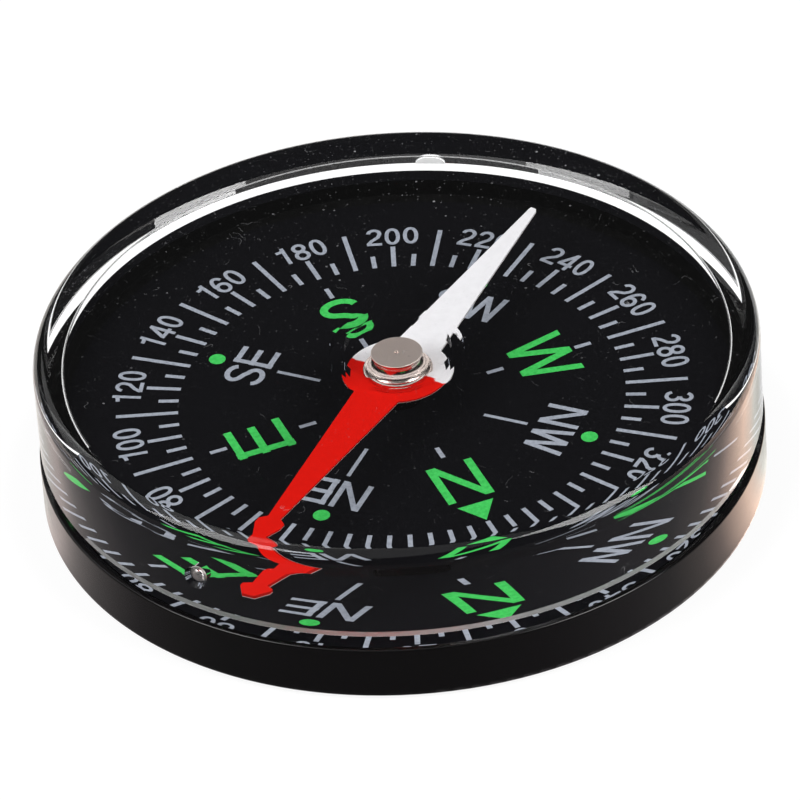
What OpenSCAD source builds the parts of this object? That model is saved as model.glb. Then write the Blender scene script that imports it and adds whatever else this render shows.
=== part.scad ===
// Liquid-filled pocket compass: a black cup, a thick clear cover let into it,
// a printed dial on the floor of the cup and a needle on a steel point.
// Origin at the centre of the flat underside, +Z up, millimetres.

/* [Case] */
// Outside diameter of the black base cup
case_d = 45; // [42:0.5:50]
// Height of the base cup's outside wall
base_h = 3.65; // [3.4:0.05:4.0]
// Thickness of the base cup's floor
floor_t = 0.6; // [0.5:0.05:0.8]
// Radius of the rounded bottom edge
foot_round = 0.5; // [0.2:0.05:0.8]
// Radius of the small round along the cup's top edge
rim_round = 0.12; // [0.05:0.01:0.2]
// Bevel inside the cup's top edge, which deepens the groove under the cover
rim_bevel = 0.55; // [0.3:0.05:0.7]
// Overall height from the table to the flat top
total_h = 10.7; // [10.2:0.1:11.5]

/* [Clear cover] */
// Step from the cup's wall in to the cover's wall
cover_step = 0.1; // [0.05:0.05:0.2]
// Thickness of the cover's side wall
wall_t = 1.74; // [1.5:0.02:2.0]
// Thickness of the cover's flat top
top_t = 2.35; // [1.8:0.05:2.5]
// Radius of the shoulder between side wall and top
shoulder_r = 1.0; // [0.6:0.1:1.4]
// Height of the open groove between cup and cover
groove_h = 1.0; // [0.7:0.05:1.2]
// Depth of that groove, measured in from the cover's wall
groove_d = 0.85; // [0.6:0.05:1.0]
// Small round on the cover's lower outside corner
foot_corner = 0.08; // [0.04:0.01:0.12]
// Outside diameter of the collar under the top that guards the needle's cap
collar_d = 8.34; // [7:0.02:10]
// Bore of that collar
collar_bore_d = 6.8; // [5:0.1:7]
// How far the collar stands down from the top's underside
collar_h = 1.5; // [1:0.05:2.5]
// Radius of the sheared moulding gate on the cover's foot
gate_r = 0.9; // [0.5:0.1:1.2]
// Direction of the gate, counter-clockwise from +X
gate_deg = 87; // [0:1:359]

/* [Filling hole] */
// Height of the filling hole in the side wall
fill_z = 6.95; // [6.2:0.05:7.6]
// Direction of the filling hole, counter-clockwise from +X
fill_deg = -125.6; // [-180:0.2:180]
// Diameter of the filling hole
fill_d = 1.1; // [0.9:0.05:1.3]
// Diameter of the steel ball pressed into it
ball_d = 1.2; // [1.1:0.05:1.4]
// How far the ball's outermost point lies below the wall
ball_sunk = 0.12; // [0.05:0.01:0.3]

/* [Dial] */
// Thickness of the printed dial plate
dial_t = 0.2; // [0.15:0.05:0.3]
// Diameter of the moulded post that carries the steel point
post_d = 2.4; // [2:0.1:3]
// Height of that post above the cup's floor
post_h = 1.6; // [1:0.1:2.5]

/* [Steel point] */
// Diameter of the steel pin
pin_d = 0.8; // [0.6:0.05:0.9]
// Height of the pin's tip above the table
pin_tip_z = 7.06; // [7.0:0.01:7.08]
// Length of the ground cone
pin_cone = 0.9; // [0.7:0.05:1.2]
// Radius of the polished tip
pin_tip_r = 0.05; // [0.03:0.01:0.08]

/* [Needle] */
// Height of the blade's underside above the table
needle_z = 4.6; // [4.5:0.05:4.7]
// Thickness of the steel blade
blade_t = 0.25; // [0.15:0.05:0.3]
// Distance from the axis to the tip of the plain arm
plain_arm_r = 18.7; // [16:0.1:19]
// Distance from the axis to the tip of the arrow arm
arrow_arm_r = 18.2; // [16:0.1:19]
// Diameter of the blade's round middle
hub_disc_d = 6.44; // [6:0.02:7.4]
// Width of the arms where they leave the middle
arm_w = 3.2; // [2.6:0.1:3.6]
// Width of the blunt tip of the plain arm
plain_tip_w = 0.5; // [0.3:0.05:0.8]
// Width of the narrow neck behind the arrowhead
neck_w = 0.85; // [0.6:0.05:1.2]
// Width of the arrowhead at its shoulders
head_w = 1.75; // [1.3:0.05:2.4]
// Width of the arrowhead's blunt tip
head_tip_w = 0.75; // [0.4:0.05:1]
// Length of the arrowhead
head_l = 2.1; // [1.6:0.1:3]
// Direction of the plain arm at rest, counter-clockwise from +X
needle_deg = 60; // [0:1:359]

/* [Bearing cap] */
// Diameter of the cap's flat top
cap_top_d = 3.2; // [2.8:0.1:3.6]
// Thickness of the cap's top disc at its edge
cap_top_t = 0.2; // [0.15:0.05:0.3]
// Height of the cap's top above the table
cap_z = 7.7; // [7.6:0.05:7.8]
// Diameter of the neck under the top disc
cap_neck_d = 2.6; // [2.4:0.1:2.8]
// Radius of the hollow flare from the neck out to the flange
cap_flare_r = 1.25; // [1:0.05:1.5]
// Sweep of that flare, measured down from the upright neck
cap_flare_deg = 66; // [55:1:75]
// Diameter of the flange that sits on the blade
cap_flange_d = 4.36; // [4:0.02:5]
// Thickness of that flange
cap_flange_t = 0.62; // [0.5:0.02:0.7]
// Round along the flange's upper edge
cap_flange_round = 0.3; // [0.1:0.05:0.35]
// Diameter of the shank riveted through the blade
shank_d = 2.0; // [1.8:0.1:2.2]
// Diameter of the bore that takes the jewel and clears the pin
cap_bore_d = 1.4; // [1.3:0.05:1.5]
// Height of the glass jewel
jewel_h = 0.6; // [0.5:0.05:0.65]

/* [Hidden] */
$fn = 96;
case_r = case_d / 2;
cover_r = case_r - cover_step;
cavity_r = cover_r - wall_t;
tongue_r = cover_r - groove_d;
fit_gap = 0.05;
cup_in_r = tongue_r + fit_gap;
dial_z = floor_t + dial_t;
cover_foot_z = base_h + groove_h;
ceiling_z = total_h - top_t;
collar_z = ceiling_z - collar_h;
tongue_tip_bevel = 0.15;
edge_break = 0.06;
// how far cutting shapes run past the faces that they cut
over = 1;

blade_top_z = needle_z + blade_t;
disc_r = hub_disc_d / 2;
arm_root = arm_w / 2 * 0.94;
neck_r = arrow_arm_r - head_l;
shoulder_dist = neck_r + 0.4;
head_side_l = 0.45;
plain_tip_l = 0.4;
rivet_out = 0.2;
rivet_lip = 0.15;
shank_z = needle_z - rivet_out;
blade_hole_d = shank_d + 0.04;
cap_step_t = 0.1;
cap_neck_r = cap_neck_d / 2;
cap_flange_z = blade_top_z + cap_flange_t;
flare_mid_r = cap_neck_r + cap_flare_r;
flare_mid_z = cap_flange_z + cap_step_t + cap_flare_r * sin(cap_flare_deg);
flare_end_r = flare_mid_r - cap_flare_r * cos(cap_flare_deg);
dimple_r = 0.16;
jewel_top_z = cap_z - 0.4;
jewel_z = jewel_top_z - jewel_h;
jewel_d = cap_bore_d - 0.02;
jewel_cup_r = 0.45;
jewel_apex_z = pin_tip_z + 0.04;
pin_foot_z = 0.25;
ball_mid_r = cover_r - ball_sunk - ball_d / 2;
fill_mouth_d = fill_d + 0.4;
fill_mouth_depth = 0.35;

// the sliver that a round of radius r removes from a convex corner at the
// origin, whose material lies towards (sx, sy)
module corner_cut(r, sx, sy) {
    difference() {
        translate([sx > 0 ? -over : -r, sy > 0 ? -over : -r])
            square([r + over, r + over]);
        translate([sx * r, sy * r])
            circle(r = r);
    }
}

// the same corner cut, with its corner at (x, y)
module round_at(x, y, r, sx, sy) {
    translate([x, y])
        corner_cut(r, sx, sy);
}

// black cup: thin floor, short wall, post for the steel point
module base_cup() {
    color([0.03, 0.03, 0.035])
    difference() {
        union() {
            rotate_extrude()
                difference() {
                    square([case_r, base_h]);
                    translate([-over, floor_t])
                        square([cup_in_r + over, base_h]);
                    round_at(case_r, 0, foot_round, -1, 1);
                    round_at(case_r, base_h, rim_round, -1, -1);
                    polygon([
                        [cup_in_r - over, base_h - rim_bevel - over],
                        [cup_in_r + rim_bevel + over, base_h + over],
                        [cup_in_r - over, base_h + over],
                    ]);
                }
            translate([0, 0, floor_t - fit_gap])
                cylinder(d1 = post_d + 0.3, d2 = post_d, h = post_h + fit_gap);
        }
        translate([0, 0, pin_foot_z])
            cylinder(d = pin_d, h = floor_t + post_h);
    }
}

// printed plate that lies on the cup's floor under the cover's tongue
module dial_plate() {
    color([0.06, 0.06, 0.07])
    translate([0, 0, floor_t])
    difference() {
        cylinder(r = tongue_r, h = dial_t);
        translate([0, 0, -over])
            cylinder(d = post_d + 0.5, h = dial_t + 2 * over);
    }
}

// half section of the clear cover, right of the axis
module cover_section() {
    difference() {
        union() {
            translate([0, cover_foot_z])
                square([cover_r, total_h - cover_foot_z]);
            translate([0, dial_z])
                square([tongue_r, cover_foot_z - dial_z + over]);
        }
        difference() {
            translate([-over, dial_z - over])
                square([cavity_r + over, ceiling_z - dial_z + over]);
            translate([collar_bore_d / 2, collar_z])
                square([(collar_d - collar_bore_d) / 2, collar_h + over]);
        }
        round_at(cover_r, total_h, shoulder_r, -1, -1);
        round_at(cover_r, cover_foot_z, foot_corner, -1, 1);
        round_at(tongue_r, dial_z, tongue_tip_bevel, -1, 1);
    }
}

// thick clear cover with its tongue in the cup, its filling hole and the
// flat stub where the moulding gate was cut off
module clear_cover() {
    color([0.85, 0.9, 0.92, 0.35])
    difference() {
        union() {
            rotate_extrude()
                cover_section();
            intersection() {
                rotate([0, 0, gate_deg])
                    translate([cover_r - wall_t / 2, 0, cover_foot_z])
                        rotate([0, 90, 0])
                            cylinder(r = gate_r, h = case_r - cover_r + wall_t / 2);
                rotate_extrude()
                    translate([cavity_r + 0.2, cover_foot_z])
                        square([case_r - cavity_r - 0.2, 2 * gate_r]);
            }
        }
        rotate([0, 0, fill_deg])
            translate([0, 0, fill_z])
                rotate([0, 90, 0]) {
                    translate([0, 0, cavity_r - over])
                        cylinder(d = fill_d, h = wall_t + 2 * over);
                    translate([0, 0, cover_r - fill_mouth_depth])
                        cylinder(d1 = fill_d, d2 = fill_mouth_d, h = fill_mouth_depth + 0.05);
                }
    }
}

// steel ball pressed into the filling hole
module fill_ball() {
    color([0.72, 0.72, 0.74])
    rotate([0, 0, fill_deg])
        translate([ball_mid_r, 0, fill_z])
            sphere(d = ball_d);
}

// steel point: pressed into the post, ground to a cone with a polished tip
module pivot_pin() {
    color([0.75, 0.75, 0.77])
    rotate_extrude()
        difference() {
            polygon([
                [0, pin_foot_z],
                [pin_d / 2 - edge_break, pin_foot_z],
                [pin_d / 2, pin_foot_z + edge_break],
                [pin_d / 2, pin_tip_z - pin_cone],
                [pin_tip_r, pin_tip_z - pin_tip_r],
                [pin_tip_r / 2, pin_tip_z],
                [0, pin_tip_z],
            ]);
            translate([-over, 0])
                square([over, pin_tip_z + over]);
        }
}

// outline of the two arms: plain arm along +X, arrow arm along -X
module arms_outline() {
    polygon([
        [disc_r, arm_root],
        [plain_arm_r - plain_tip_l, plain_tip_w / 2],
        [plain_arm_r, plain_tip_w / 4],
        [plain_arm_r, -plain_tip_w / 4],
        [plain_arm_r - plain_tip_l, -plain_tip_w / 2],
        [disc_r, -arm_root],
        [-disc_r, -arm_root],
        [-neck_r, -neck_w / 2],
        [-shoulder_dist, -head_w / 2],
        [-shoulder_dist - head_side_l, -head_w / 2],
        [-arrow_arm_r, -head_tip_w / 2],
        [-arrow_arm_r, head_tip_w / 2],
        [-shoulder_dist - head_side_l, head_w / 2],
        [-shoulder_dist, head_w / 2],
        [-neck_r, neck_w / 2],
        [-disc_r, arm_root],
    ]);
}

// magnetised steel strip, painted white on the plain arm, red on the other
module needle_blade() {
    color([0.85, 0.12, 0.1])
    rotate([0, 0, needle_deg])
        translate([0, 0, needle_z])
            difference() {
                union() {
                    linear_extrude(blade_t)
                        arms_outline();
                    cylinder(d = hub_disc_d, h = blade_t);
                }
                translate([0, 0, -over])
                    cylinder(d = blade_hole_d, h = blade_t + 2 * over);
            }
}

// turned cap: flat top disc, neck, hollow flare, flange and riveted shank
module bearing_cap() {
    color([0.7, 0.69, 0.67])
    rotate_extrude()
    difference() {
        union() {
            translate([0, shank_z])
                square([shank_d / 2, cap_z - shank_z]);
            translate([0, shank_z])
                square([shank_d / 2 + rivet_lip, rivet_out - fit_gap / 2]);
            translate([0, blade_top_z])
                square([cap_flange_d / 2, cap_flange_t]);
            translate([0, blade_top_z])
                square([cap_neck_r, cap_z - blade_top_z - edge_break]);
            // hollow flare from the flange's step up into the neck
            difference() {
                translate([0, cap_flange_z - edge_break])
                    square([flare_end_r, flare_mid_z - cap_flange_z + edge_break]);
                translate([flare_mid_r, flare_mid_z])
                    circle(r = cap_flare_r);
            }
            translate([0, cap_z - cap_top_t])
                square([cap_top_d / 2, cap_top_t]);
        }
        round_at(cap_top_d / 2, cap_z, edge_break, -1, -1);
        round_at(cap_flange_d / 2, cap_flange_z, cap_flange_round, -1, -1);
        translate([-over, shank_z - over])
            square([cap_bore_d / 2 + over, jewel_top_z - shank_z + over]);
        translate([0, cap_z + dimple_r * 0.35])
            circle(r = dimple_r);
        translate([-over, shank_z - over])
            square([over, total_h]);
    }
}

// glass cup jewel that turns on the steel point
module jewel() {
    color([0.75, 0.2, 0.35, 0.6])
    difference() {
        translate([0, 0, jewel_z])
            cylinder(d = jewel_d, h = jewel_h);
        translate([0, 0, jewel_z])
            cylinder(r1 = jewel_cup_r, r2 = 0.02, h = jewel_apex_z - jewel_z);
    }
}

base_cup();
dial_plate();
fill_ball();
pivot_pin();
needle_blade();
bearing_cap();
jewel();
clear_cover();
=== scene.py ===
"""Looks of the pocket compass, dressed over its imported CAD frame.

Everything is in metres in the CAD frame: +Z up, the needle turns about Z, the
photographed side faces -Y. Sizes below are in millimetres unless named otherwise.
"""

import math

import bpy
from mathutils import Matrix, Vector


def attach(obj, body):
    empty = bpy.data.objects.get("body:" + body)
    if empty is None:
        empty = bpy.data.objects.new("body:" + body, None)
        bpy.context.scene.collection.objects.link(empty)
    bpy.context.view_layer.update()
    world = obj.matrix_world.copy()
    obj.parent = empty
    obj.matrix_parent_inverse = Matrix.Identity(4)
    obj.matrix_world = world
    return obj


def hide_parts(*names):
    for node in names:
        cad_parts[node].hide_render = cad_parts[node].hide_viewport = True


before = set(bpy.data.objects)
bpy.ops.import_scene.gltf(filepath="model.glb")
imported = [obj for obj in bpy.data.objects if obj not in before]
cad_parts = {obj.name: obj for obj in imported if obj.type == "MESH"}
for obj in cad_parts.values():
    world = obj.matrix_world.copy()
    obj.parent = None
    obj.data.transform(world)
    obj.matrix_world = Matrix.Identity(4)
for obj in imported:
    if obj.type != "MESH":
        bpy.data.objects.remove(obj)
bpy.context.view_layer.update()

MM = 0.001

# cup and dial plate
CUP_H = 3.65
RIM_BEVEL = 0.55
DIAL_Z = 0.8

# clear cover
COVER_R = 22.4
CAVITY_R = 20.66
TONGUE_R = 21.55
TONGUE_TIP_R = 0.15
TONGUE_GAP = 0.01
TOP_Z = 10.7
CEILING_Z = 8.35
FOOT_Z = 4.65
SHOULDER_R = 1.0
FOOT_CORNER_R = 0.08
COLLAR_R = 4.17
COLLAR_BORE_R = 3.4
COLLAR_Z = 6.85
# a hairline of air stays in the rounded corner under the top, except within this angle of the near side
CORNER_R = 0.18
CORNER_WETTED = 68
# the foot's face is rough and grey, passing about a third of the light, within this angle of the near side
FOOT_DULL = 62

# mark of the moulding gate, a half disc over the foot at the far side
GATE_DEG = 82.2
GATE_R = 0.95
GATE_LIFT = 0.1
GATE_FACE_R = COVER_R - 0.02
GATE_BACK_R = COVER_R - 0.1

# filling hole and its ball; the wall is divided above and below the hole, so that the cut stays between
FILL_DEG = -125.6
FILL_Z = 6.95
FILL_R = 0.55
MOUTH_R = 0.75
MOUTH_DEPTH = 0.35
BALL_R = 0.6
BALL_MID = COVER_R - 0.12 - BALL_R
BAND_LOW = 6.2
BAND_HIGH = 8.0

# needle: radii and half widths
NEEDLE_Z = 4.6
NEEDLE_DEG = 60.0
BLADE_T = 0.25
DISC_R = 3.22
PLAIN_ARM_R = 18.7
PLAIN_ROOT_HALF = 1.504
ARROW_ARM_R = 18.2
ARROW_NECK_R = 16.1
ARROW_BARB_R = 16.5
ARROW_SIDE_R = 16.95
ARROW_NECK_HALF = 0.425
ARROW_BARB_HALF = 0.875
ARROW_TIP_HALF = 0.375
RIVET_HOLE_R = 1.02
BARE_EDGE = 0.045

# bearing cap
CAP_Z = 7.7
CAP_TOP_R = 1.6
CAP_TOP_T = 0.2
CAP_EDGE_R = 0.06
CAP_NECK_R = 1.3
CAP_FLARE_R = 1.25
CAP_FLARE_DEG = 66
CAP_FLANGE_R = 2.18
CAP_FLANGE_T = 0.62
CAP_FLANGE_STEP = 0.1
CAP_BEAD_R = 0.3
CAP_BEAD_DEG = 80
CAP_BEVEL = 0.05
SHANK_R = 1.0
SHANK_BORE_R = 0.7
RIVET_R = 1.15
RIVET_T = 0.17
RIVET_Z = NEEDLE_Z - 0.2
SOCKET_TOP_Z = CAP_Z - 0.4
DIMPLE_BALL_R = 0.16
DIMPLE_DEG = 20.5

# dial: direction of its north, and how far its print sits off the centre
NORTH_DEG = -70.45
PRINT_SHIFT = (0.12, -0.15)
INK_LIFT = 0.002
INK_T = 0.01
INK_STEP = 0.0004

# dial: ticks start at one radius; those of 5, 10 and 20 degrees differ in length
TICK_START = 13.85
TICK_END_5 = 15.1
TICK_END_10 = 17.7
TICK_END_20 = 16.0
TICK_WIDE = 0.3
FIGURE_R = 17.1
FIGURE_H = 1.8
FIGURE_GAP = 0.16
FIGURE_STROKE = 0.25

# dial: green letters with a mark on either side, grey letters with a mark and a green dot
LETTER_R = 9.45
LETTER_H = 3.8
LETTER_STROKE = 0.51
LETTER_STRETCH = {"N": 1.06, "E": 1.2, "S": 1.06, "W": 1.21}
LETTER_MARK_IN = (5.7, 6.8)
LETTER_MARK_OUT = (11.6, 12.7)
ARROW_FOOT = 11.9
ARROW_TIP = 13.7
ARROW_HALF = 1.17
PAIR_R = 10.2
PAIR_H = 2.6
PAIR_GAP = 0.22
PAIR_STROKE = 0.35
PAIR_ASIDE = {"NE": 0.0, "SE": 0.0, "SW": 0.25, "NW": 0.0}
PAIR_MARK = (5.5, 8.4)
PAIR_MARK_WIDE = 0.25
DOT_R = 0.525
DOT_PLACE = 12.5

# refraction: clear plastic in air, and clear plastic against the oil inside it
IOR_CLEAR = 1.49
IOR_CLEAR_IN_OIL = 1.49 / 1.455
# opaque surfaces that lie in the oil reflect almost nothing of their own
IOR_IN_OIL = 1.04

DIAL_BLACK = (0.005, 0.005, 0.0062, 1)
# ink farther out than this is left out of mirror images, as the photographed wall shows none
MIRRORED_INK_R = 13.175

# sine of the height up to which the sky is white to light that has passed the cover
HORIZON_BAND = 0.15

# painted reflection: the light and shade of the floor as the case's walls reflect it, by direction
# from the near side (degrees, + is right); the studio round the case is warm and brightest at its far right
PAINTED_FLOOR_REFLECTION = [
    (-180, (1, 1, 1)), (-88, (1, 0.95, 0.9)), (-84, (1.1, 0.98, 0.93)), (-78, (1.2, 1.03, 0.98)),
    (-70, (0.68, 0.61, 0.59)), (-62, (0.42, 0.385, 0.38)), (-50, (0.20, 0.185, 0.19)),
    (-42, (0.16, 0.15, 0.15)), (-33, (0.125, 0.125, 0.125)), (-20, (0.118, 0.112, 0.115)),
    (5, (0.118, 0.112, 0.115)), (20, (0.155, 0.145, 0.152)), (37, (0.27, 0.25, 0.26)),
    (46, (0.35, 0.33, 0.33)), (55, (0.62, 0.54, 0.51)), (61, (1.1, 0.88, 0.8)),
    (66, (2.1, 1.55, 1.3)), (74, (3.1, 2.25, 1.8)), (84, (1.6, 1.56, 1.44)),
    (89, (1.1, 1.08, 1.0)), (96, (1, 1, 1)), (180, (1, 1, 1)),
]
TONE_TOP = 3.2
# between these distances from the axis, the near side's tones spread farther round
TONE_NEAR_R = 23.2
TONE_FAR_R = 31.2

# floor, in metres
FLOOR_HALF = 4.0
FLOOR_DROP = 0.00002

# camera, in metres and radians: angle above the table, distance, upward aim and roll
VIEW_ELEVATION = 0.64543
VIEW_DISTANCE = 0.49766
VIEW_AIM = 0.009058
VIEW_ROLL = -0.07216

# lamps, in metres and watts
LAMPS = (
    ("overhead", (-0.25, -0.15, 0.95), (1.2, 1.2), 1.9),
    ("right", (0.7, -0.3, 0.8), (0.55, 0.6), 7.8),
    ("left", (-0.7, -0.25, 0.8), (0.6, 0.6), 5.8),
    ("back_left", (-0.6, 0.45, 0.8), (1.0, 1.0), 2.2),
)
LAMP_AIM = (0, 0, 0.005)

# places of the colour sockets on a Mix node
MIX_FIRST, MIX_SECOND, MIX_RESULT = 6, 7, 2


# node helpers


def srgb(r, g, b):
    """Linear colour of 0-255 screen values."""
    def lin(v):
        v /= 255
        return v / 12.92 if v <= 0.04045 else ((v + 0.055) / 1.055) ** 2.4
    return (lin(r), lin(g), lin(b), 1.0)


def material(name, color, roughness=0.5, ior=1.5, metallic=0.0, transmission=0.0):
    """A Principled material; returns it with its node tree and its shader node."""
    mat = bpy.data.materials.new(name)
    mat.use_nodes = True
    tree = mat.node_tree
    shader = tree.nodes["Principled BSDF"]
    shader.inputs["Base Color"].default_value = color
    shader.inputs["Roughness"].default_value = roughness
    shader.inputs["IOR"].default_value = ior
    shader.inputs["Metallic"].default_value = metallic
    shader.inputs["Transmission Weight"].default_value = transmission
    return mat, tree, shader


def node(tree, kind, **values):
    """A new node with its properties and named inputs set."""
    made = tree.nodes.new(kind)
    for key, value in values.items():
        if hasattr(made, key):
            setattr(made, key, value)
        else:
            made.inputs[key.replace("_", " ")].default_value = value
    return made


def feed(tree, target, value):
    """Gives an input its value, which is another node's output or a constant."""
    if isinstance(value, bpy.types.NodeSocket):
        tree.links.new(value, target)
    else:
        target.default_value = value


def math_node(tree, operation, *values):
    """Output of a math node."""
    made = node(tree, "ShaderNodeMath", operation=operation)
    for target, value in zip(made.inputs, values):
        feed(tree, target, value)
    return made.outputs[0]


def map_range(tree, value, start, end, low=0.0, high=1.0):
    """A value from start to end becomes one from low to high and stays within them."""
    made = node(tree, "ShaderNodeMapRange")
    limits = {"Value": value, "From Min": start, "From Max": end, "To Min": low, "To Max": high}
    for key, given in limits.items():
        feed(tree, made.inputs[key], given)
    return made.outputs["Result"]


def mix_color(tree, factor, first, second, blend="MIX"):
    made = node(tree, "ShaderNodeMix", data_type="RGBA", blend_type=blend)
    feed(tree, made.inputs["Factor"], factor)
    feed(tree, made.inputs[MIX_FIRST], first)
    feed(tree, made.inputs[MIX_SECOND], second)
    return made.outputs[MIX_RESULT]


def mix_shader(tree, factor, first, second):
    made = node(tree, "ShaderNodeMixShader")
    for target, value in zip(made.inputs, (factor, first, second)):
        feed(tree, target, value)
    return made.outputs["Shader"]


def xyz(tree, source="Object"):
    """X, Y and Z of the shaded point in object space, in metres, or of another kind of coordinate."""
    coord = node(tree, "ShaderNodeTexCoord")
    split = node(tree, "ShaderNodeSeparateXYZ")
    feed(tree, split.inputs["Vector"], coord.outputs[source])
    return split.outputs["X"], split.outputs["Y"], split.outputs["Z"]


def from_axis(tree, x, y):
    """Distance from the Z axis."""
    squares = [math_node(tree, "MULTIPLY", part, part) for part in (x, y)]
    return math_node(tree, "SQRT", math_node(tree, "ADD", *squares))


def noise(tree, scale, detail=2.0, rough=0.5, stretch=None):
    """Noise in object space; scale is in features per metre."""
    place = node(tree, "ShaderNodeTexCoord").outputs["Object"]
    if stretch:
        mapping = node(tree, "ShaderNodeMapping", Scale=stretch)
        feed(tree, mapping.inputs["Vector"], place)
        place = mapping.outputs["Vector"]
    made = node(tree, "ShaderNodeTexNoise", Scale=scale, Detail=detail, Roughness=rough)
    feed(tree, made.inputs["Vector"], place)
    return made.outputs["Fac"]


def ramp(tree, value, stops):
    """Colour ramp; stops are (position, colour or grey level)."""
    made = node(tree, "ShaderNodeValToRGB")
    points = made.color_ramp.elements
    while len(points) < len(stops):
        points.new(0.5)
    for point, (place, color) in zip(points, stops):
        point.position = place
        point.color = color if isinstance(color, tuple) else (color, color, color, 1)
    feed(tree, made.inputs["Fac"], value)
    return made.outputs["Color"]


def bump(tree, shader, height, strength, distance):
    """Bump on a shader; distance is in metres."""
    made = node(tree, "ShaderNodeBump", Strength=strength, Distance=distance)
    feed(tree, made.inputs["Height"], height)
    feed(tree, shader.inputs["Normal"], made.outputs["Normal"])


def light_path(tree, *names):
    """Outputs of a Light Path node."""
    path = node(tree, "ShaderNodeLightPath")
    return [path.outputs[name] for name in names]


def specks(tree, scale, share, size):
    """Small round specks, each with its own strength: their share of the cells and greatest size in cells."""
    coord = node(tree, "ShaderNodeTexCoord")
    cells = node(tree, "ShaderNodeTexVoronoi", Scale=scale)
    feed(tree, cells.inputs["Vector"], coord.outputs["Object"])
    pick = node(tree, "ShaderNodeSeparateColor")
    feed(tree, pick.inputs["Color"], cells.outputs["Color"])
    few = math_node(tree, "GREATER_THAN", pick.outputs[0], 1.0 - share)
    reach = math_node(tree, "MULTIPLY", pick.outputs[1], size)
    inside = math_node(tree, "LESS_THAN", cells.outputs["Distance"], reach)
    strength = math_node(tree, "POWER", pick.outputs[2], 2.0)
    return math_node(tree, "MULTIPLY", math_node(tree, "MULTIPLY", few, inside), strength)


# materials of the case


def let_lamps_through(tree, surface):
    """Shadow and diffuse rays pass straight through, so that lamps light what lies behind."""
    straight = math_node(tree, "MAXIMUM", *light_path(tree, "Is Shadow Ray", "Is Diffuse Ray"))
    clear = node(tree, "ShaderNodeBsdfTransparent", Color=(0.97, 0.97, 0.97, 1))
    shown = mix_shader(tree, straight, surface, clear.outputs["BSDF"])
    feed(tree, tree.nodes["Material Output"].inputs["Surface"], shown)


def clear_outside():
    """Clear plastic in air, with fine dust and a few lint fibres and scratches."""
    mat, tree, shader = material("clear_plastic_outside", (1, 1, 1, 1), 0.0, IOR_CLEAR, 0.0, 1.0)
    dust = math_node(tree, "MAXIMUM", specks(tree, 1300, 0.5, 0.12), specks(tree, 3600, 0.8, 0.24))
    x, y, z = xyz(tree)
    back = map_range(tree, y, -0.004, 0.014, 0.2, 1.0)
    drift = math_node(tree, "MULTIPLY", back, ramp(tree, noise(tree, 160, 3, 0.6), [(0.4, 0.25), (0.6, 1.0)]))
    # fibres and scratches: thin level lines of a noise, only in patches
    from_level = math_node(tree, "ABSOLUTE", math_node(tree, "SUBTRACT", noise(tree, 420, 2, 0.4), 0.5))
    lines = math_node(tree, "LESS_THAN", from_level, 0.0013)
    patches = math_node(tree, "GREATER_THAN", noise(tree, 900, 1), 0.65)
    wisps = math_node(tree, "MULTIPLY", lines, math_node(tree, "MULTIPLY", patches, 0.5))
    dirt = math_node(tree, "MAXIMUM", math_node(tree, "MULTIPLY", dust, drift), wisps)
    grey = node(tree, "ShaderNodeBsdfDiffuse", Color=(0.6, 0.6, 0.62, 1))
    faint = math_node(tree, "MULTIPLY", dirt, 0.5)
    let_lamps_through(tree, mix_shader(tree, faint, shader.outputs["BSDF"], grey.outputs["BSDF"]))
    return mat


def clear_inside():
    """The same plastic where the oil touches it: barely any bending of light."""
    mat, tree, shader = material("clear_plastic_in_oil", (1, 1, 1, 1), 0.0, IOR_CLEAR_IN_OIL, 0.0, 1.0)
    let_lamps_through(tree, shader.outputs["BSDF"])
    return mat


def black_cement():
    mat, tree, shader = material("black_cement", (0.004, 0.004, 0.0045, 1), 0.6, IOR_IN_OIL)
    patchy = noise(tree, 1800, 3)
    feed(tree, shader.inputs["Base Color"], ramp(tree, patchy, [(0.3, 0.003), (0.7, 0.006)]))
    return mat


def dull_foot():
    """Clear plastic with a rough, grey face that passes about a third of the light."""
    mat, tree, shader = material("clear_plastic_dull", (0.32, 0.31, 0.32, 1), 0.35, IOR_CLEAR, 0.0, 1.0)
    feed(tree, shader.inputs["Roughness"], ramp(tree, noise(tree, 1500, 3), [(0.3, 0.28), (0.7, 0.42)]))
    let_lamps_through(tree, shader.outputs["BSDF"])
    return mat


def frosted_scar():
    """Rough cut face of the moulding gate; a little glow stands for the white sheet it scatters."""
    mat, tree, shader = material("gate_scar", (0.95, 0.95, 0.97, 1), 0.7, 1.3)
    cut = noise(tree, 6000, 4, 0.7)
    feed(tree, shader.inputs["Base Color"], ramp(tree, cut, [(0.35, 0.8), (0.65, 1.0)]))
    feed(tree, shader.inputs["Emission Color"], ramp(tree, cut, [(0.35, 0.5), (0.65, 0.8)]))
    shader.inputs["Emission Strength"].default_value = 0.6
    bump(tree, shader, cut, 0.6, 0.00005)
    return mat


def black_plastic():
    """Glossy moulding with rub marks; where it is seen through the cover, its reflection is dimmed in
    streaks, which is painted shade.
    """
    mat, tree, shader = material("black_moulding", (0.0028, 0.0024, 0.0026, 1), 0.12, 1.45)
    rub = noise(tree, 900, 4, 0.6, (1, 1, 3))
    feed(tree, shader.inputs["Roughness"], ramp(tree, rub, [(0.35, 0.1), (0.75, 0.2)]))
    # painted shade: rays that came through the cover see this reflection weakened in streaks
    behind = math_node(tree, "MINIMUM", *light_path(tree, "Transmission Depth"), 1.0)
    streaks = ramp(tree, noise(tree, 2600, 3, 0.6, (1, 1, 0.2)), [(0.35, 0.49), (0.7, 0.4)])
    painted_dimming = math_node(tree, "MULTIPLY", behind, streaks)
    feed(tree, shader.inputs["Specular IOR Level"], math_node(tree, "SUBTRACT", 0.5, painted_dimming))
    bump(tree, shader, noise(tree, 350, 2), 0.05, 0.00004)
    return mat


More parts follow.
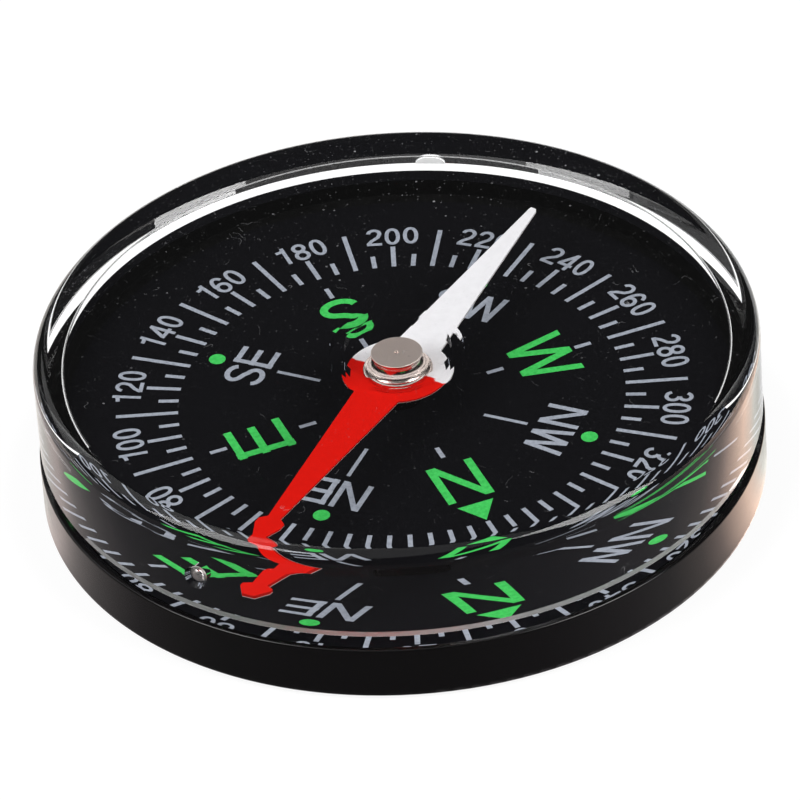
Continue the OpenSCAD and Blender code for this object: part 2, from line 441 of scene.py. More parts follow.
def dial_black():
    mat, tree, shader = material("dial_black", DIAL_BLACK, 0.5, IOR_IN_OIL)
    tones = [(0.3, (0.0042, 0.0042, 0.0053, 1)), (0.75, (0.006, 0.006, 0.0075, 1))]
    feed(tree, shader.inputs["Base Color"], ramp(tree, noise(tree, 5000, 3), tones))
    return mat


def ink(name, color, dark):
    """Printed ink with a patchy tone."""
    mat, tree, shader = material(name, color, 0.5, IOR_IN_OIL)
    patchy = ramp(tree, noise(tree, 3500, 3, 0.6), [(0.3, dark), (0.6, color)])
    x, y, z = xyz(tree)
    outer = math_node(tree, "GREATER_THAN", from_axis(tree, x, y), MIRRORED_INK_R * MM)
    mirrored = math_node(tree, "MINIMUM", *light_path(tree, "Glossy Depth"), 1.0)
    hidden = math_node(tree, "MULTIPLY", outer, mirrored)
    feed(tree, shader.inputs["Base Color"], mix_color(tree, hidden, patchy, DIAL_BLACK))
    return mat


# materials of the needle


def needle_paint():
    """White on the plain arm and red on the arrow arm; the two meet across the middle."""
    mat, tree, shader = material("needle_paint", srgb(200, 25, 20), 0.4, IOR_IN_OIL)
    coord = node(tree, "ShaderNodeTexCoord")
    turn = node(tree, "ShaderNodeMapping", Rotation=(0, 0, -math.radians(NEEDLE_DEG)))
    along = node(tree, "ShaderNodeSeparateXYZ")
    feed(tree, turn.inputs["Vector"], coord.outputs["Object"])
    feed(tree, along.inputs["Vector"], turn.outputs["Vector"])
    seam = math_node(tree, "MULTIPLY_ADD", noise(tree, 1400, 2), 0.0005, along.outputs["X"])
    side = map_range(tree, seam, 0.0002, 0.0003)
    arms = mix_color(tree, side, srgb(226, 22, 12), srgb(251, 250, 253))
    coat = ramp(tree, noise(tree, 2200, 3), [(0.3, 0.95), (0.7, 1.0)])
    paint = mix_color(tree, 1.0, arms, coat, "MULTIPLY")
    # the underside and the lowest part of the cut edge are bare
    x, y, z = xyz(tree)
    bare = math_node(tree, "LESS_THAN", z, (NEEDLE_Z + BARE_EDGE) * MM)
    feed(tree, shader.inputs["Base Color"], mix_color(tree, bare, paint, srgb(232, 208, 206)))
    bump(tree, shader, noise(tree, 2600, 3), 0.15, 0.00002)
    return mat


def bare_steel(name, color, roughness):
    mat, tree, shader = material(name, color, roughness, 1.5, 1.0)
    smooth, rough = roughness * 0.8, roughness * 1.3
    streaks = ramp(tree, noise(tree, 4000, 2, 0.5, (1, 1, 6)), [(0.3, smooth), (0.7, rough)])
    feed(tree, shader.inputs["Roughness"], streaks)
    return mat


def nickel():
    """Turned and plated: satin on the flat top, bright on the flare."""
    mat, tree, shader = material("turned_nickel", (0.72, 0.61, 0.56, 1), 0.15, 1.5, 1.0)
    x, y, z = xyz(tree)
    satin = map_range(tree, z, (CAP_Z - 0.08) * MM, (CAP_Z - 0.02) * MM, 0.17, 0.42)
    feed(tree, shader.inputs["Roughness"], satin)
    rings = node(tree, "ShaderNodeTexNoise", noise_dimensions="1D", Scale=14000)
    feed(tree, rings.inputs["W"], from_axis(tree, x, y))
    bump(tree, shader, rings.outputs["Fac"], 0.25, 0.00002)
    return mat


# turned pieces


def add_object(name, mesh):
    made = bpy.data.objects.new(name, mesh)
    bpy.context.scene.collection.objects.link(made)
    return made


def line(start, end, slot=0):
    """A straight stretch of a turned profile, solid on its left."""
    dr, dz = end[0] - start[0], end[1] - start[1]
    size = math.hypot(dr, dz)
    flat = (dz / size, -dr / size)
    return {"points": [start, end], "normal": lambda r, z: flat, "slot": slot}


def arc(centre, radius, start_deg, end_deg, slot=0, steps=10):
    """A round stretch; counter-clockwise is convex and clockwise is hollow."""
    sign = 1 if end_deg > start_deg else -1
    points = []
    for k in range(steps + 1):
        a = math.radians(start_deg + (end_deg - start_deg) * k / steps)
        points.append((centre[0] + radius * math.cos(a), centre[1] + radius * math.sin(a)))

    def normal(r, z):
        dr, dz = r - centre[0], z - centre[1]
        size = math.hypot(dr, dz) or 1
        return (sign * dr / size, sign * dz / size)
    return {"points": points, "normal": normal, "slot": slot}


def lathe(name, stretches, around=256):
    """A turned piece with exact normals. Faces carry the number of their stretch as material index."""
    rings, verts, faces, numbers = {}, [], [], []

    def ring(point):
        key = (round(point[0], 6), round(point[1], 6))
        if key not in rings:
            first = len(verts)
            if key[0] < 1e-6:
                verts.append((0, 0, key[1] * MM))
                rings[key] = [first] * around
            else:
                for k in range(around):
                    a = 2 * math.pi * k / around
                    verts.append((key[0] * math.cos(a) * MM, key[0] * math.sin(a) * MM, key[1] * MM))
                rings[key] = list(range(first, first + around))
        return rings[key]

    for number, stretch in enumerate(stretches):
        for low, high in zip(stretch["points"], stretch["points"][1:]):
            a, b = ring(low), ring(high)
            for k in range(around):
                n = (k + 1) % around
                corners = [a[k], a[n], b[n], b[k]]
                corners = [c for i, c in enumerate(corners) if c not in corners[:i]]
                if len(corners) > 2:
                    faces.append(corners)
                    numbers.append(number)
    mesh = bpy.data.meshes.new(name)
    mesh.from_pydata(verts, [], faces)
    mesh.polygons.foreach_set("material_index", numbers)
    set_turned_normals(mesh, stretches)
    return add_object(name, mesh)


def set_turned_normals(mesh, stretches, other=None):
    """Gives each face corner the exact normal of its stretch; other serves faces of no stretch."""
    normals = [None] * len(mesh.loops)
    for face in mesh.polygons:
        for corner in face.loop_indices:
            x, y, z = mesh.vertices[mesh.loops[corner].vertex_index].co
            if face.material_index >= len(stretches):
                normals[corner] = other(face.material_index, Vector((x, y, z)))
                continue
            r = math.hypot(x, y)
            nr, nz = stretches[face.material_index]["normal"](r / MM, z / MM)
            if r < 1e-9:
                normals[corner] = (0, 0, 1 if nz >= 0 else -1)
            else:
                normals[corner] = (nr * x / r, nr * y / r, nz)
    mesh.polygons.foreach_set("use_smooth", [True] * len(mesh.polygons))
    mesh.normals_split_custom_set(normals)


def set_materials(mesh, materials, slots):
    """Replaces the stretch numbers by each face's material slot."""
    mesh.materials.clear()
    for mat in materials:
        mesh.materials.append(mat)
    mesh.polygons.foreach_set("material_index", slots)


# clear cover

# its material slots: faces in air, faces in oil, faces cemented to the cup, dull near part of the foot
AIR, OIL, CEMENT, DULL = 0, 1, 2, 3


def cover_profile():
    """From the tongue's tip up the outside, over the top and down the inside."""
    tip_z = DIAL_Z + TONGUE_GAP
    tip_in = TONGUE_R - TONGUE_TIP_R
    cement_z = CUP_H - RIM_BEVEL
    foot_in = COVER_R - FOOT_CORNER_R
    foot_top = FOOT_Z + FOOT_CORNER_R
    shoulder_in = COVER_R - SHOULDER_R
    shoulder_z = TOP_Z - SHOULDER_R
    corner_in = CAVITY_R - CORNER_R
    corner_z = CEILING_Z - CORNER_R
    return [
        line((CAVITY_R, tip_z), (tip_in, tip_z), CEMENT),
        arc((tip_in, tip_z + TONGUE_TIP_R), TONGUE_TIP_R, -90, 0, CEMENT, steps=5),
        line((TONGUE_R, tip_z + TONGUE_TIP_R), (TONGUE_R, cement_z), CEMENT),
        line((TONGUE_R, cement_z), (TONGUE_R, FOOT_Z), AIR),
        line((TONGUE_R, FOOT_Z), (foot_in, FOOT_Z), AIR),
        arc((foot_in, foot_top), FOOT_CORNER_R, -90, 0, AIR, steps=6),
        line((COVER_R, foot_top), (COVER_R, BAND_LOW), AIR),
        line((COVER_R, BAND_LOW), (COVER_R, BAND_HIGH), AIR),
        line((COVER_R, BAND_HIGH), (COVER_R, shoulder_z), AIR),
        arc((shoulder_in, shoulder_z), SHOULDER_R, 0, 90, AIR, steps=24),
        line((shoulder_in, TOP_Z), (0, TOP_Z), AIR),
        line((0, CEILING_Z), (COLLAR_BORE_R, CEILING_Z), OIL),
        line((COLLAR_BORE_R, CEILING_Z), (COLLAR_BORE_R, COLLAR_Z), OIL),
        line((COLLAR_BORE_R, COLLAR_Z), (COLLAR_R, COLLAR_Z), OIL),
        line((COLLAR_R, COLLAR_Z), (COLLAR_R, CEILING_Z), OIL),
        line((COLLAR_R, CEILING_Z), (corner_in, CEILING_Z), OIL),
        arc((corner_in, corner_z), CORNER_R, 90, 0, AIR, steps=6),
        line((CAVITY_R, corner_z), (CAVITY_R, BAND_HIGH), OIL),
        line((CAVITY_R, BAND_HIGH), (CAVITY_R, BAND_LOW), OIL),
        line((CAVITY_R, BAND_LOW), (CAVITY_R, tip_z), OIL),
    ]


def hole_profile():
    """Cutter for the filling hole, which widens at its mouth; the ball keeps the oil from its outer part."""
    start = CAVITY_R - 1
    end = COVER_R + MOUTH_DEPTH / 2
    end_r = MOUTH_R + (MOUTH_R - FILL_R) / 2
    return [
        line((0, start), (FILL_R, start), OIL),
        line((FILL_R, start), (FILL_R, BALL_MID), OIL),
        line((FILL_R, BALL_MID), (FILL_R, COVER_R - MOUTH_DEPTH), AIR),
        line((FILL_R, COVER_R - MOUTH_DEPTH), (end_r, end), AIR),
        line((end_r, end), (0, end), AIR),
    ]


def cut_filling_hole(body, profile, hole, mat):
    """Cuts the hole out of the cover; its faces get the numbers that follow the profile's."""
    first = len(profile)
    cutter = lathe("hole_cutter", hole, 64)
    lay = (Matrix.Translation((0, 0, FILL_Z * MM))
           @ Matrix.Rotation(math.radians(FILL_DEG), 4, "Z") @ Matrix.Rotation(math.pi / 2, 4, "Y"))
    cutter.data.transform(lay)
    cutter.data.polygons.foreach_set(
        "material_index", [first + face.material_index for face in cutter.data.polygons])
    # the cut keeps the numbers only where both meshes have as many slots
    for k in range(first + len(hole)):
        body.data.materials.append(mat)
        cutter.data.materials.append(mat)
    cut = body.modifiers.new("hole", "BOOLEAN")
    cut.operation = "DIFFERENCE"
    cut.solver = "EXACT"
    cut.object = cutter
    done = bpy.data.meshes.new_from_object(body.evaluated_get(bpy.context.evaluated_depsgraph_get()))
    body.modifiers.clear()
    body.data = done
    bpy.data.objects.remove(cutter)
    back = lay.inverted()
    turn = lay.to_3x3()

    def hole_normal(number, point):
        local = back @ point
        nr, nz = hole[number - first]["normal"](0, 0)
        r = math.hypot(local.x, local.y) or 1
        return tuple(-(turn @ Vector((nr * local.x / r, nr * local.y / r, nz))))

    set_turned_normals(done, profile, hole_normal)


def make_cover(outside, inside, cement, dull):
    """Clear moulding with its filling hole."""
    profile, hole = cover_profile(), hole_profile()
    body = lathe("clear_cover_moulding", profile)
    cut_filling_hole(body, profile, hole, outside)
    starts = [stretch["points"][0] for stretch in profile]
    corner = starts.index((CAVITY_R - CORNER_R, CEILING_Z))
    foot = starts.index((TONGUE_R, FOOT_Z))
    slots = [stretch["slot"] for stretch in profile + hole]

    def slot_of(face):
        from_near = abs(math.degrees(math.atan2(face.center.x, -face.center.y)))
        if face.material_index == corner and from_near < CORNER_WETTED:
            return OIL
        if face.material_index == foot and from_near < FOOT_DULL:
            return DULL
        return slots[face.material_index]

    numbers = [slot_of(face) for face in body.data.polygons]
    set_materials(body.data, (outside, inside, cement, dull), numbers)
    return body


def make_gate_scar(rough):
    """Half-round rough face where the gate was cut off, a thin curved plate set into the wall."""
    steps = 14
    verts, faces = [], []
    middle = math.radians(GATE_DEG)
    for r in (GATE_BACK_R, GATE_FACE_R):
        for k in range(steps + 1):
            across = GATE_R * math.cos(math.pi * k / steps)
            up = GATE_R * math.sin(math.pi * k / steps)
            a = middle + across / COVER_R
            verts.append((r * math.cos(a) * MM, r * math.sin(a) * MM, (FOOT_Z + GATE_LIFT + up) * MM))
    count = steps + 1
    faces.append(list(range(count)))
    faces.append(list(range(2 * count - 1, count - 1, -1)))
    for k in range(count):
        n = (k + 1) % count
        faces.append([k, count + k, count + n, n])
    mesh = bpy.data.meshes.new("gate_scar")
    mesh.from_pydata(verts, [], faces)
    mesh.materials.append(rough)
    return add_object("gate_scar", mesh)


def make_ball(metal):
    """Steel ball in the filling hole."""
    stretch = arc((0, 0), BALL_R, -90, 90, steps=24)
    stretch["points"][0] = (0, -BALL_R)
    stretch["points"][-1] = (0, BALL_R)
    ball = lathe("filling_ball", [stretch], 48)
    set_materials(ball.data, [metal], [0] * len(ball.data.polygons))
    ball.data.transform(Matrix.Rotation(math.radians(FILL_DEG), 4, "Z")
                        @ Matrix.Translation((BALL_MID * MM, 0, FILL_Z * MM)))
    return ball


# printed dial


def ellipse(cx, cy, rx, ry, start, end, steps=18, power=1.0):
    """Points along an ellipse; power under 1 squares it a little."""
    points = []
    for k in range(steps + 1):
        a = math.radians(start + (end - start) * k / steps)
        c, s = math.cos(a), math.sin(a)
        across, up = math.copysign(abs(c) ** power, c), math.copysign(abs(s) ** power, s)
        points.append((cx + rx * across, cy + ry * up))
    return points


# Each glyph: its width, then strokes along centre lines, on a cap height of 1 and a stroke of about 0.14.
# Coordinates run from the edge of the ink, so centre lines keep T inside it. Four numbers are a
# slanted bar with level ends.
T = 0.08
GLYPHS = {
    "0": (0.56, [ellipse(0.28, 0.5, 0.28 - T, 0.5 - T, 0, 360, 36, 0.9)]),
    "1": (0.56, [[(0.37, 0), (0.37, 1)], [(0.33, 0.84), (0.24, 0.79), (0.09, 0.77)]]),
    "2": (0.56, [ellipse(0.28, 0.71, 0.28 - T, 0.29 - T, 175, -25, 14)
                 + [(0.42, 0.50), (0.19, 0.29), (0.09, 0.13), (0.08, T)], [(0.03, T), (0.56, T)]]),
    "3": (0.56, [ellipse(0.27, 0.735, 0.2, 0.195, 165, -90, 14),
                 ellipse(0.27, 0.29, 0.22, 0.22, 90, -165, 16)]),
    "4": (0.58, [[(0.42, 0), (0.42, 1)], [(0.40, 0.93), (0.06, 0.31)], [(0, 0.29), (0.58, 0.29)]]),
    "6": (0.56, [ellipse(0.28, 0.31, 0.21, 0.24, 0, 360, 26), ellipse(0.30, 0.5, 0.23, 0.43, 35, 200, 14)]),
    "8": (0.56, [ellipse(0.28, 0.735, 0.185, 0.195, 0, 360, 22),
                 ellipse(0.28, 0.29, 0.21, 0.22, 0, 360, 24)]),
    "N": (0.78, [[(T, 0), (T, 1)], [(0.78 - T, 0), (0.78 - T, 1)], (0.09, 1, 0.69, 0)]),
    "E": (0.66, [[(T, 0), (T, 1)], [(0, T), (0.66, T)],
                 [(0, 0.52), (0.62, 0.52)], [(0, 1 - T), (0.65, 1 - T)]]),
    "S": (0.66, [ellipse(0.33, 0.74, 0.26, 0.19, 10, 250, 16) + [(0.34, 0.52)]
                 + ellipse(0.33, 0.27, 0.27, 0.20, 70, -170, 16)]),
    "W": (1.0, [(0.08, 1, 0.27, 0), (0.27, 0, 0.5, 1), (0.5, 1, 0.73, 0), (0.73, 0, 0.92, 1)]),
}


class Print:
    """Flat printed ink: thin closed plates that lie on the dial."""

    def __init__(self, name, mat):
        self.name, self.mat = name, mat
        self.verts, self.faces, self.strokes = [], [], 0

    def levels(self):
        """Under and upper side of the next stroke; neighbours differ a little, so that none coincide."""
        self.strokes += 1
        low = DIAL_Z + INK_LIFT
        return low, low + INK_T + INK_STEP * (self.strokes % 5)

    def plate(self, outline):
        """outline is in millimetres, counter-clockwise."""
        first, count = len(self.verts), len(outline)
        for z in self.levels():
            self.verts += [(x * MM, y * MM, z * MM) for x, y in outline]
        top = [first + count + k for k in range(count)]
        self.faces.append(top)
        self.faces.append([first + k for k in reversed(range(count))])
        for k in range(count):
            n = (k + 1) % count
            self.faces.append([first + k, first + n, top[n], top[k]])

    def stroke(self, points, width):
        """One ribbon of ink along a line, mitred at its bends; a line that ends at its start is closed."""
        closed = len(points) > 3 and math.dist(points[0], points[-1]) < width / 20
        spots = points[:-1] if closed else points
        count = len(spots)
        left, right = [], []
        for k, spot in enumerate(spots):
            before = spots[k - 1] if closed or k else spot
            after = spots[(k + 1) % count] if closed or k < count - 1 else spot
            sides = [Vector((b[0] - a[0], b[1] - a[1])).normalized()
                     for a, b in ((before, spot), (spot, after)) if a is not b]
            along = sum(sides, Vector((0, 0))).normalized()
            reach = width / 2 / max(along.dot(sides[0]), 0.45)
            left.append((spot[0] - along.y * reach, spot[1] + along.x * reach))
            right.append((spot[0] + along.y * reach, spot[1] - along.x * reach))
        first = len(self.verts)
        for z in self.levels():
            for pair in zip(left, right):
                self.verts += [(x * MM, y * MM, z * MM) for x, y in pair]
        top = 2 * count
        for k in range(count if closed else count - 1):
            a, b = first + 2 * k, first + 2 * ((k + 1) % count)
            self.faces.append([top + a, top + a + 1, top + b + 1, top + b])
            self.faces.append([a, b, b + 1, a + 1])
            self.faces.append([a, top + a, top + b, b])
            self.faces.append([a + 1, b + 1, top + b + 1, top + a + 1])
        if not closed:
            a, b = first, first + 2 * (count - 1)
            self.faces.append([a, a + 1, top + a + 1, top + a])
            self.faces.append([b, top + b, top + b + 1, b + 1])

    def finish(self):
        mesh = bpy.data.meshes.new(self.name)
        mesh.from_pydata(self.verts, [], self.faces)
        mesh.materials.append(self.mat)
        return add_object(self.name, mesh)


def on_dial(value, across, outward):
    """Point of the dial at a reading, with offsets read with the top of the figures outward."""
    a = math.radians(NORTH_DEG - value)
    return (PRINT_SHIFT[0] + outward * math.cos(a) + across * math.sin(a),
            PRINT_SHIFT[1] + outward * math.sin(a) - across * math.cos(a))


def mark(ink_plate, value, inner, outer, width):
    """A straight mark that points to the middle."""
    ink_plate.stroke([on_dial(value, 0, inner), on_dial(value, 0, outer)], width)


def write(ink_plate, text, value, middle_r, height, spacing, stroke, stretch=1.0, aside=0.0):
    """Figures or letters with their tops outward, centred on a reading."""
    scale_x = height * stretch
    total = sum(GLYPHS[c][0] for c in text) * scale_x + spacing * (len(text) - 1)
    pen = aside - total / 2
    foot_r = middle_r - height / 2
    for c in text:
        width, strokes = GLYPHS[c]
        for points in strokes:
            slanted = isinstance(points, tuple)
            if slanted:
                x0, y0, x1, y1 = points
                half = stroke / 2 * math.hypot((x1 - x0) * scale_x, (y1 - y0) * height) / height / scale_x
                points = [(x0 - half, y0), (x1 - half, y1), (x1 + half, y1), (x0 + half, y0)]
                if y1 > y0:
                    points.reverse()
            placed = [on_dial(value, pen + x * scale_x, foot_r + y * height) for x, y in points]
            if slanted:
                ink_plate.plate(placed)
            else:
                ink_plate.stroke(placed, stroke)
        pen += width * scale_x + spacing


def make_print(grey_ink, green_ink):
    """Degree scale and letters."""
    grey = Print("dial_scale_print", grey_ink)
    green = Print("dial_letter_print", green_ink)
    for value in range(0, 360, 5):
        end = TICK_END_5 if value % 10 else TICK_END_10 if value % 20 else TICK_END_20
        mark(grey, value, TICK_START, end, TICK_WIDE)
        if value % 20 == 0:
            write(grey, str(value), value, FIGURE_R, FIGURE_H, FIGURE_GAP, FIGURE_STROKE)
    for letter, value in (("N", 0), ("E", 90), ("S", 180), ("W", 270)):
        write(green, letter, value, LETTER_R, LETTER_H, 0, LETTER_STROKE, LETTER_STRETCH[letter])
        mark(grey, value, *LETTER_MARK_IN, TICK_WIDE)
        if value:
            mark(grey, value, *LETTER_MARK_OUT, TICK_WIDE)
    arrow = ((-ARROW_HALF, ARROW_FOOT), (ARROW_HALF, ARROW_FOOT), (0, ARROW_TIP))
    green.plate([on_dial(0, across, outward) for across, outward in arrow])
    for letters, value in (("NE", 45), ("SE", 135), ("SW", 225), ("NW", 315)):
        write(grey, letters, value, PAIR_R, PAIR_H, PAIR_GAP, PAIR_STROKE, aside=PAIR_ASIDE[letters])
        mark(grey, value, *PAIR_MARK, PAIR_MARK_WIDE)
        dot = [on_dial(value, DOT_R * math.cos(a), DOT_PLACE + DOT_R * math.sin(a))
               for a in (k * math.pi / 12 for k in range(24))]
        green.plate(dot[::-1])
    return grey.finish(), green.finish()


# needle


def needle_outline():
    """Clockwise from the plain arm's tip: the disc, the arrow arm and the disc again."""
    tip = [(PLAIN_ARM_R - 0.3, 0.28), (PLAIN_ARM_R, 0.24),
           (PLAIN_ARM_R - 0.06, -0.14), (PLAIN_ARM_R - 0.3, -0.26)]
    arrow = [(-ARROW_NECK_R, ARROW_NECK_HALF), (-ARROW_BARB_R, ARROW_BARB_HALF),
             (-ARROW_SIDE_R, ARROW_BARB_HALF), (-ARROW_ARM_R, ARROW_TIP_HALF)]
    join = math.atan2(-PLAIN_ROOT_HALF, math.sqrt(DISC_R ** 2 - PLAIN_ROOT_HALF ** 2))
    sweep = math.pi + 2 * join
    steps = 28

    def disc(start):
        return [(DISC_R * math.cos(start - sweep * k / steps), DISC_R * math.sin(start - sweep * k / steps))
                for k in range(steps + 1)]
    return tip + disc(join) + [(x, -y) for x, y in arrow] + arrow[::-1] + disc(math.pi + join)


def make_needle(paint):
    """Stamped and painted strip."""
    hole = [(RIVET_HOLE_R * math.cos(2 * math.pi * k / 32), RIVET_HOLE_R * math.sin(2 * math.pi * k / 32))
            for k in range(32)]
    curve = bpy.data.curves.new("needle_outline", "CURVE")
    curve.dimensions = "2D"
    curve.fill_mode = "BOTH"
    for points in (needle_outline()[::-1], hole):
        spline = curve.splines.new("POLY")
        spline.points.add(len(points) - 1)
        for spot, (x, y) in zip(spline.points, points):
            spot.co = (x * MM, y * MM, 0, 1)
        spline.use_cyclic_u = True
    curve.extrude = BLADE_T / 2 * MM
    flat = add_object("needle_outline", curve)
    bpy.context.view_layer.update()
    mesh = bpy.data.meshes.new_from_object(flat.evaluated_get(bpy.context.evaluated_depsgraph_get()))
    bpy.data.objects.remove(flat)
    mesh.name = "needle_strip"
    mesh.materials.clear()
    mesh.materials.append(paint)
    mesh.transform(Matrix.Translation((0, 0, (NEEDLE_Z + BLADE_T / 2) * MM))
                   @ Matrix.Rotation(math.radians(NEEDLE_DEG), 4, "Z"))
    return add_object("needle_strip", mesh)


def make_cap(metal):
    """Turned cap: dimpled flat top, neck, hollow flare, rounded flange and riveted shank."""
    blade_top = NEEDLE_Z + BLADE_T
    flange_z = blade_top + CAP_FLANGE_T
    flare_z = flange_z + CAP_FLANGE_STEP + CAP_FLARE_R * math.sin(math.radians(CAP_FLARE_DEG))
    flare_end = CAP_NECK_R + CAP_FLARE_R * (1 - math.cos(math.radians(CAP_FLARE_DEG)))
    bead_in = CAP_FLANGE_R - CAP_BEAD_R
    bead_z = flange_z - CAP_BEAD_R
    bead_end = (bead_in + CAP_BEAD_R * math.cos(math.radians(CAP_BEAD_DEG)),
                bead_z + CAP_BEAD_R * math.sin(math.radians(CAP_BEAD_DEG)))
    rivet_top = RIVET_Z + RIVET_T
    under_top = CAP_Z - CAP_TOP_T
    edge_in = CAP_TOP_R - CAP_EDGE_R
    edge_z = CAP_Z - CAP_EDGE_R
    dimple_r = DIMPLE_BALL_R * math.cos(math.radians(DIMPLE_DEG))
    dimple_z = CAP_Z + DIMPLE_BALL_R * math.sin(math.radians(DIMPLE_DEG))
    stretches = [
        line((SHANK_BORE_R, RIVET_Z), (RIVET_R, RIVET_Z)),
        line((RIVET_R, RIVET_Z), (RIVET_R, rivet_top)),
        line((RIVET_R, rivet_top), (SHANK_R, rivet_top)),
        line((SHANK_R, rivet_top), (SHANK_R, blade_top)),
        line((SHANK_R, blade_top), (CAP_FLANGE_R - CAP_BEVEL, blade_top)),
        line((CAP_FLANGE_R - CAP_BEVEL, blade_top), (CAP_FLANGE_R, blade_top + CAP_BEVEL)),
        line((CAP_FLANGE_R, blade_top + CAP_BEVEL), (CAP_FLANGE_R, bead_z)),
        arc((bead_in, bead_z), CAP_BEAD_R, 0, CAP_BEAD_DEG, steps=10),
        line(bead_end, (flare_end, flange_z)),
        line((flare_end, flange_z), (flare_end, flange_z + CAP_FLANGE_STEP)),
        arc((CAP_NECK_R + CAP_FLARE_R, flare_z), CAP_FLARE_R, 180 + CAP_FLARE_DEG, 180, steps=16),
        line((CAP_NECK_R, flare_z), (CAP_NECK_R, under_top)),
        line((CAP_NECK_R, under_top), (CAP_TOP_R, under_top)),
        line((CAP_TOP_R, under_top), (CAP_TOP_R, edge_z)),
        arc((edge_in, edge_z), CAP_EDGE_R, 0, 90, steps=5),
        line((edge_in, CAP_Z), (dimple_r, CAP_Z)),
        arc((0, dimple_z), DIMPLE_BALL_R, -DIMPLE_DEG, -90, steps=6),
        line((0, SOCKET_TOP_Z), (SHANK_BORE_R, SOCKET_TOP_Z)),
        line((SHANK_BORE_R, SOCKET_TOP_Z), (SHANK_BORE_R, RIVET_Z)),
    ]
    cap = lathe("turned_cap", stretches, 128)
    set_materials(cap.data, [metal], [0] * len(cap.data.polygons))
    return cap


# setting


def make_camera():
    """The photograph's viewpoint: 37 degrees above the table, long lens."""
    lens = bpy.data.cameras.new("photo_camera")
    lens.lens = 360
    lens.sensor_width = 36
    lens.clip_start, lens.clip_end = 0.01, 100
    camera = bpy.data.objects.new("photo_camera", lens)
    place = (0, -VIEW_DISTANCE * math.cos(VIEW_ELEVATION), VIEW_DISTANCE * math.sin(VIEW_ELEVATION))
    camera.matrix_world = (
        Matrix.Translation(place)
        @ Matrix.Rotation(math.pi / 2 - VIEW_ELEVATION + VIEW_AIM, 4, "X")
        @ Matrix.Rotation(VIEW_ROLL, 4, "Z"))
    bpy.context.scene.collection.objects.link(camera)
    bpy.context.scene.camera = camera


def floor_material():
    """White paper to the camera and through the cover, with a share of its real shading that keeps the
    shadow. Glossy walls see a painted reflection, a glow of light and shade tones by direction, and other
    rays see plain paper."""
    mat = bpy.data.materials.new("white_floor")
    mat.use_nodes = True
    tree = mat.node_tree
    tree.nodes.clear()
    x, y, z = xyz(tree)
    # painted reflection: a glow whose light and shade tones follow the direction round the case, seen by
    # glossy rays only
    direction = math_node(tree, "ARCTAN2", x, math_node(tree, "MULTIPLY", y, -1.0))
    draw = map_range(tree, from_axis(tree, x, y), TONE_NEAR_R * MM, TONE_FAR_R * MM, 0.5, 0.36)
    place = math_node(tree, "MULTIPLY_ADD", math_node(tree, "DIVIDE", direction, math.pi), draw, 0.5)
    tone = ramp(tree, place, [(0.5 + deg / 360, tuple(part / TONE_TOP for part in color) + (1,))
                              for deg, color in PAINTED_FLOOR_REFLECTION])
    shaded = node(tree, "ShaderNodeEmission", Strength=TONE_TOP)
    feed(tree, shaded.inputs["Color"], tone)
    plain = node(tree, "ShaderNodeBsdfDiffuse", Color=(0.88, 0.88, 0.88, 1))
    faint = node(tree, "ShaderNodeBsdfDiffuse", Color=(0.13, 0.13, 0.13, 1))
    glow = node(tree, "ShaderNodeEmission", Color=(1, 1, 1, 1))
    white = node(tree, "ShaderNodeAddShader")
    feed(tree, white.inputs[0], faint.outputs["BSDF"])
    feed(tree, white.inputs[1], glow.outputs["Emission"])
    to_camera, through, mirrored = light_path(tree, "Is Camera Ray", "Is Transmission Ray", "Is Glossy Ray")
    feed(tree, glow.inputs["Strength"], math_node(tree, "MULTIPLY_ADD", through, 0.25, 0.9))
    unseen = mix_shader(tree, mirrored, plain.outputs["BSDF"], shaded.outputs["Emission"])
    seen = math_node(tree, "MAXIMUM", to_camera, through)
    out = node(tree, "ShaderNodeOutputMaterial")
    feed(tree, out.inputs["Surface"], mix_shader(tree, seen, unseen, white.outputs["Shader"]))
    return mat


def make_floor():
    mesh = bpy.data.meshes.new("floor")
    corners = [(x * FLOOR_HALF, y * FLOOR_HALF, 0) for x, y in ((-1, -1), (1, -1), (1, 1), (-1, 1))]
    mesh.from_pydata(corners, [], [(0, 1, 2, 3)])
    mesh.materials.append(floor_material())
    floor = add_object("floor", mesh)
    floor.location.z = -FLOOR_DROP


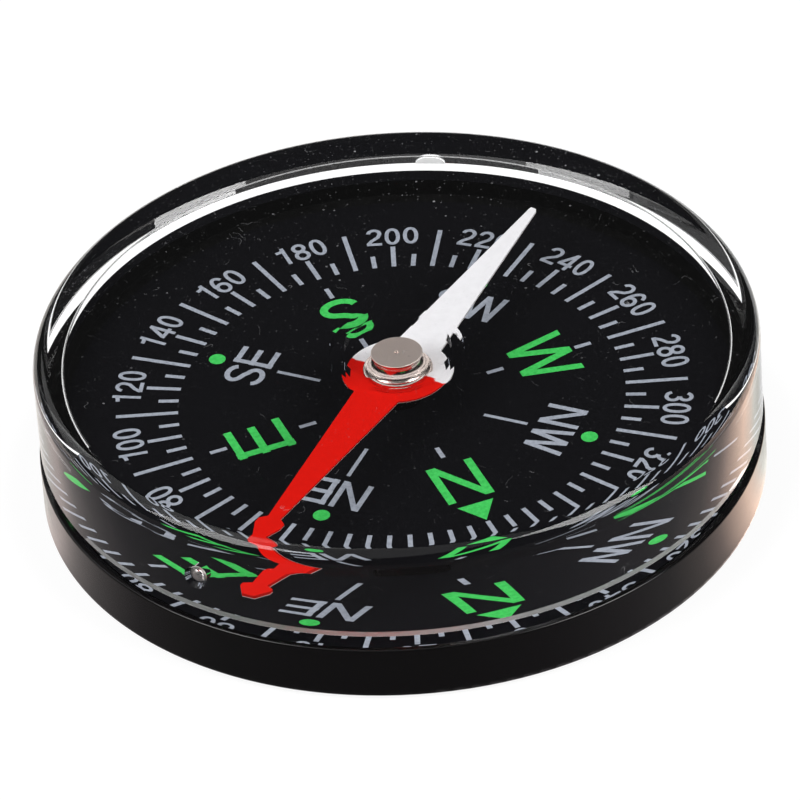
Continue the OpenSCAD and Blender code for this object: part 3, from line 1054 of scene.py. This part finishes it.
def make_world():
    """White behind everything for the camera, and near the horizon through the cover; dim elsewhere."""
    world = bpy.data.worlds.new("studio")
    world.use_nodes = True
    tree = world.node_tree
    back = tree.nodes["Background"]
    x, y, z = xyz(tree, "Generated")
    to_camera, through = light_path(tree, "Is Camera Ray", "Is Transmission Ray")
    low = math_node(tree, "MULTIPLY", math_node(tree, "LESS_THAN", z, HORIZON_BAND), through)
    white = math_node(tree, "MAXIMUM", to_camera, low)
    feed(tree, back.inputs["Strength"], map_range(tree, white, 0.0, 1.0, 0.05, 1.0))
    back.inputs["Color"].default_value = (1, 1, 1, 1)
    bpy.context.scene.world = world


def softbox(name, place, size, watts):
    """Square or oblong area lamp, turned to the compass."""
    light = bpy.data.lights.new(name, "AREA")
    light.shape = "RECTANGLE"
    light.size, light.size_y = size
    light.energy = watts
    lamp = bpy.data.objects.new(name, light)
    lamp.location = place
    lamp.rotation_euler = (Vector(LAMP_AIM) - Vector(place)).to_track_quat("-Z", "Y").to_euler()
    bpy.context.scene.collection.objects.link(lamp)


# assembly

for piece in (make_cover(clear_outside(), clear_inside(), black_cement(), dull_foot()),
              make_gate_scar(frosted_scar())):
    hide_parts("clear_cover")
    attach(piece, "case")

ball = make_ball(bare_steel("ball_steel", (0.9, 0.84, 0.82, 1), 0.3))
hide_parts("fill_ball")
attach(ball, "case")

for piece in make_print(ink("grey_ink", srgb(172, 178, 190), srgb(150, 156, 168)),
                        ink("green_ink", srgb(76, 212, 102), srgb(60, 190, 86))):
    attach(piece, "case")

needle = make_needle(needle_paint())
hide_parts("needle_blade")
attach(needle, "needle")

cap = make_cap(nickel())
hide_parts("bearing_cap")
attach(cap, "needle")

CARRIED_OVER = {
    "base_cup": black_plastic(),
    "dial_plate": dial_black(),
    "pivot_pin": bare_steel("pin_steel", (0.7, 0.7, 0.71, 1), 0.25),
    "jewel": material("jewel_glass", (0.75, 0.2, 0.3, 1), 0.05, 1.2, 0.0, 0.8)[0],
}
for name, mat in CARRIED_OVER.items():
    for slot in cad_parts[name].material_slots:
        slot.material = mat

make_camera()
make_floor()
make_world()
for lamp in LAMPS:
    softbox(*lamp)

bpy.context.scene.view_settings.view_transform = "Standard"
